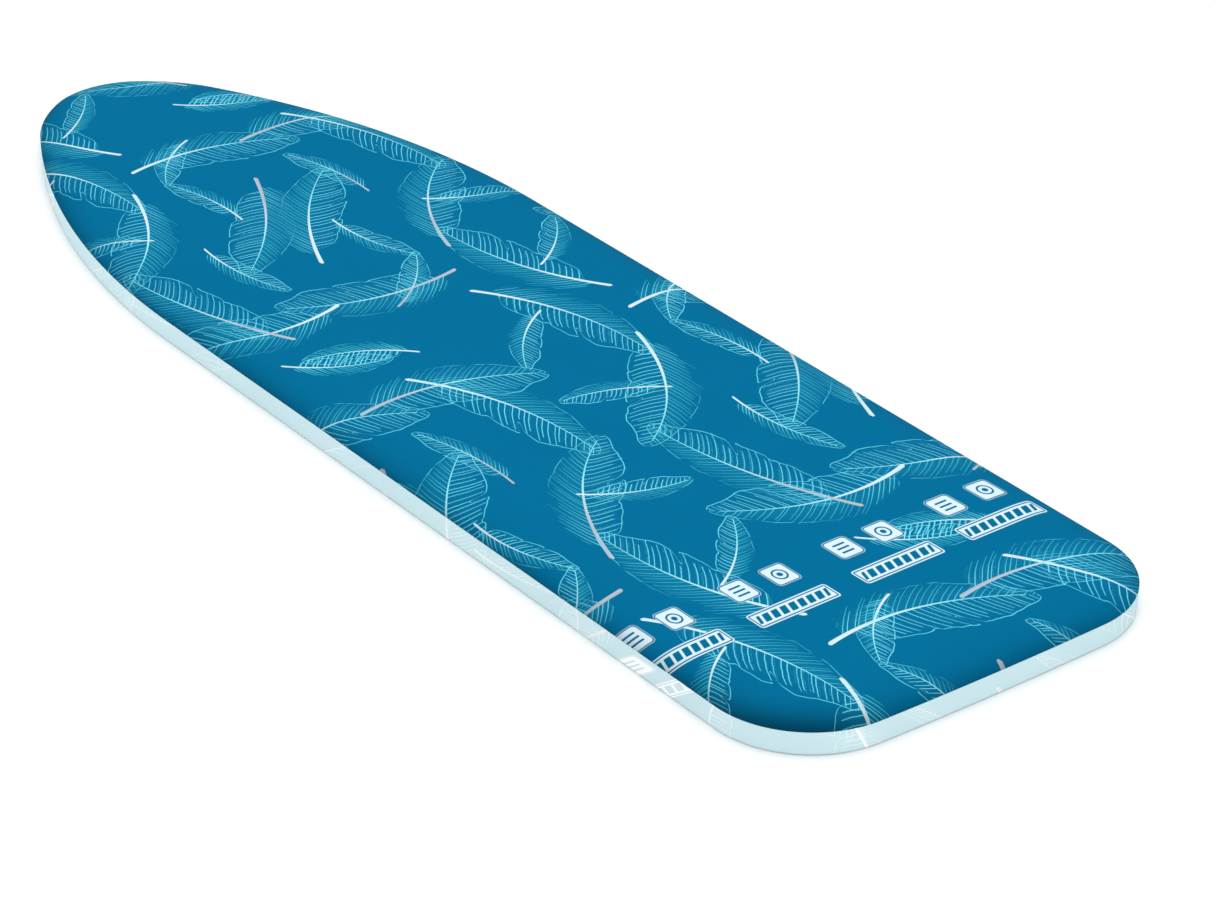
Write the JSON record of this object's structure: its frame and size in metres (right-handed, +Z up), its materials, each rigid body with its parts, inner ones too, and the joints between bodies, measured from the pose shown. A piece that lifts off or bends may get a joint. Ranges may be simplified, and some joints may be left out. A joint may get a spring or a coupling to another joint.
{
  "type": "ironing board top",
  "caption": "Flat ironing board top with pointed nose and square tail, in a padded quill-print fabric cover drawn tight by a cord and cord lock.",
  "frame": {"origin": "middle of the footprint, on the hem's underside", "axes": "+X from the middle to the square tail, -X to the pointed nose, +Z up through the ironing surface"},
  "size_m": [1.25, 0.374, 0.025],
  "materials": {
    "enamelled_steel": "satin powder coat",
    "rivet_steel": "zinc plated",
    "felt": "needled felt",
    "foam": "open-cell foam",
    "reflective_film": "metallised film",
    "printed_cotton": "printed cotton, blue with white and aqua quills",
    "band_cotton": "plain weave cotton, pale aqua",
    "hem_cotton": "plain weave cotton",
    "bias_tape": "woven bias tape",
    "cord": "braided polyester cord",
    "lock_plastic": "moulded nylon",
    "plunger_plastic": "moulded acetal",
    "spring_steel": "drawn wire",
    "label_satin": "woven satin, blank"
  },
  "bodies": {
    "board": {"rim_tube": "enamelled_steel", "rim_tube_joiner": "enamelled_steel", "deck_plate": "enamelled_steel", "nose_cross_brace": "enamelled_steel", "shoulder_cross_brace": "enamelled_steel", "tail_cross_brace": "enamelled_steel", "left_leg_rail": "enamelled_steel", "right_leg_rail": "enamelled_steel", "left_pivot_bracket": "enamelled_steel", "right_pivot_bracket": "enamelled_steel", "deck_rivets": "rivet_steel", "felt_pad": "felt", "foam_pad": "foam", "reflective_layer": "reflective_film", "cover_top_panel": "printed_cotton", "cover_side_band": "band_cotton", "cover_hem": "hem_cotton", "cord_casing": "bias_tape", "drawcord": "cord", "cord_end_stopper": "lock_plastic", "care_label": "label_satin"},
    "cord_lock": {"cord_lock_barrel": "lock_plastic", "cord_lock_spring": "spring_steel"},
    "lock_plunger": {"cord_lock_plunger": "plunger_plastic"}
  },
  "joints": [
    {"name": "cord_lock_slide", "type": "slide", "parent": "board", "child": "cord_lock", "axis": [-1, 0, 0], "range_m": [0, 0.04]},
    {"name": "lock_plunger_press", "type": "slide", "parent": "cord_lock", "child": "lock_plunger", "axis": [0, -1, 0], "range_m": [0, 0.004], "stiffness_N_per_m": 400, "springref_m": -0.002, "deforming": ["cord_lock_spring"]}
  ]
}
